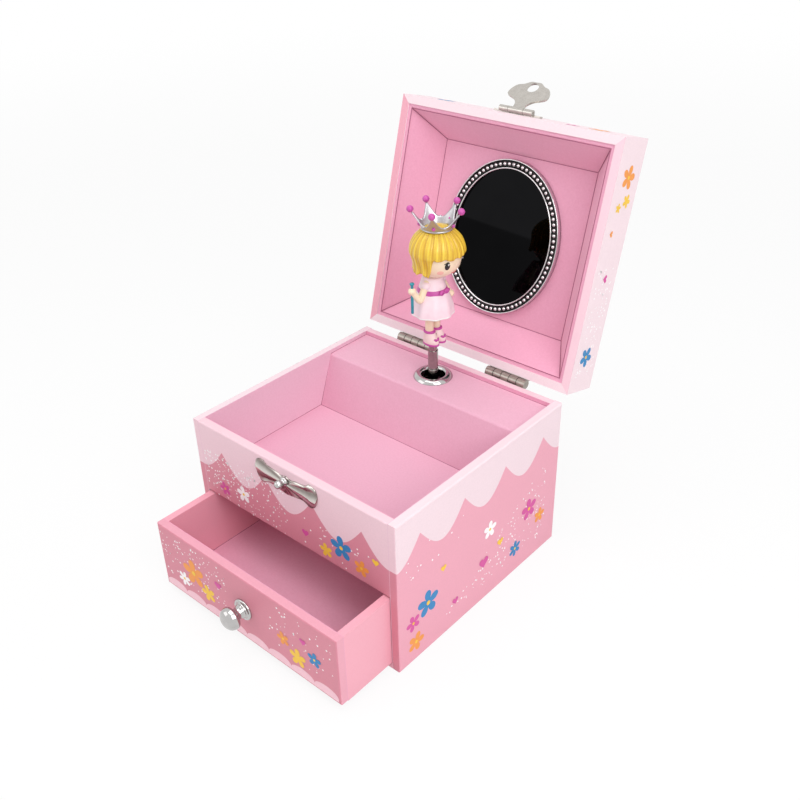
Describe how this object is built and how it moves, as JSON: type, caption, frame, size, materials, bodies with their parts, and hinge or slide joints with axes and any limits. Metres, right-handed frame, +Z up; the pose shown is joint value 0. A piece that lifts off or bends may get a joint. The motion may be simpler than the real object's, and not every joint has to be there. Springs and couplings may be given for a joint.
{
  "type": "musical jewellery box",
  "caption": "Covered-board musical jewellery box with a hinged mirror lid, a tray, a drawer and a doll figure that turns and folds down as the lid shuts.",
  "frame": {"origin": "centre of the case's underside, on the surface it stands on", "axes": "+X to the right seen from the front, +Y to the back where the hinges are, +Z up"},
  "size_m": [0.12, 0.2113, 0.1972],
  "materials": {
    "printed_board": "satin printed paper",
    "lined_board": "matte lining paper",
    "plain_board": "matte",
    "chrome": "polished",
    "steel": "satin",
    "mirror": "polished",
    "cast_metal": "cast",
    "brass": "satin",
    "white_plastic": "matte",
    "doll_skin": "satin paint",
    "doll_shoes": "satin paint",
    "doll_dress": "satin paint",
    "doll_hair": "satin paint",
    "doll_crown": "metallic paint",
    "doll_wand": "satin paint"
  },
  "bodies": {
    "case": {"bottom_panel": "plain_board", "left_side_panel": "printed_board", "right_side_panel": "printed_board", "back_panel": "printed_board", "front_panel": "printed_board", "movement_partition": "plain_board", "tray_floor": "lined_board", "platform_cover": "lined_board", "spindle_ring": "chrome", "catch_plate": "chrome", "catch_post": "chrome", "left_hinge_case_leaf": "steel", "right_hinge_case_leaf": "steel", "hinge_pins": "steel", "hinge_case_screws": "steel", "bedplate": "cast_metal", "movement_screws": "steel", "comb": "steel", "bedplate_screws": "steel", "governor_bracket": "brass"},
    "lid": {"lid_top_panel": "printed_board", "lid_front_wall": "printed_board", "lid_back_wall": "printed_board", "lid_left_wall": "printed_board", "lid_right_wall": "printed_board", "lid_lining": "lined_board", "mirror_frame": "chrome", "mirror_glass": "mirror", "left_hinge_lid_leaf": "steel", "right_hinge_lid_leaf": "steel", "hinge_lid_screws": "steel", "hasp_base": "chrome", "hasp_pin": "steel"},
    "hasp": {"hasp_leaf": "chrome"},
    "drawer": {"drawer_front": "printed_board", "drawer_left_side": "lined_board", "drawer_right_side": "lined_board", "drawer_back": "lined_board", "drawer_bottom": "lined_board", "knob_rosette": "chrome", "drawer_knob": "chrome", "knob_screw": "steel"},
    "spindle": {"spindle_tube": "chrome", "spindle_pinion": "brass"},
    "fold": {"post_spring": "steel"},
    "figure": {"figure_post": "chrome", "figure_legs": "doll_shoes", "figure_dress": "doll_dress", "figure_arms": "doll_skin", "figure_head": "doll_skin", "figure_hair": "doll_hair", "figure_crown": "doll_crown", "figure_wand": "doll_wand"},
    "barrel": {"spring_barrel": "brass", "mainspring": "steel"},
    "winding": {"winding_arbor": "steel", "winding_key": "steel"},
    "drum": {"pin_drum": "brass"},
    "governor": {"governor_fan": "white_plastic"}
  },
  "joints": [
    {"name": "lid_hinge", "type": "hinge", "parent": "case", "child": "lid", "pos_m": [0, 0.059, 0.07725], "axis": [1, 0, 0], "range_deg": [0, 105.5]},
    {"name": "hasp_hinge", "type": "hinge", "parent": "lid", "child": "hasp", "pos_m": [0, 0.09827, 0.18798], "axis": [1, 0, 0], "range_deg": [-40, 135]},
    {"name": "drawer_slide", "type": "slide", "parent": "case", "child": "drawer", "axis": [0, -1, 0], "range_m": [-0.03, 0.022]},
    {"name": "figure_tilt", "type": "hinge", "parent": "case", "child": "fold", "pos_m": [-0.0025, 0.03895, 0.0796], "axis": [1, 0, 0], "range_deg": [0, 100], "deforming": ["post_spring"]},
    {"name": "figure_spin", "type": "hinge", "parent": "fold", "child": "figure", "pos_m": [-0.0025, 0.0415, 0.0796], "axis": [0, 0, 1], "continuous": true},
    {"name": "spindle_spin", "type": "hinge", "parent": "case", "child": "spindle", "pos_m": [-0.0025, 0.0415, 0.065], "axis": [0, 0, 1], "continuous": true},
    {"name": "barrel_turn", "type": "hinge", "parent": "case", "child": "barrel", "pos_m": [-0.0025, 0.047, 0.048], "axis": [0, 1, 0], "continuous": true},
    {"name": "drum_turn", "type": "hinge", "parent": "case", "child": "drum", "pos_m": [0.02, 0.0415, 0.048], "axis": [1, 0, 0], "continuous": true},
    {"name": "governor_turn", "type": "hinge", "parent": "case", "child": "governor", "pos_m": [0.035, 0.0415, 0.056], "axis": [1, 0, 0], "continuous": true},
    {"name": "key_turn", "type": "hinge", "parent": "case", "child": "winding", "pos_m": [-0.0025, 0.06, 0.048], "axis": [0, 1, 0], "continuous": true}
  ],
  "couplings": [
    {"joint": "figure_tilt", "follows": "lid_hinge", "ratio": 0.947},
    {"joint": "spindle_spin", "follows": "figure_spin", "ratio": 1},
    {"joint": "barrel_turn", "follows": "figure_spin", "ratio": -0.33333},
    {"joint": "drum_turn", "follows": "figure_spin", "ratio": 1},
    {"joint": "governor_turn", "follows": "figure_spin", "ratio": -3}
  ]
}
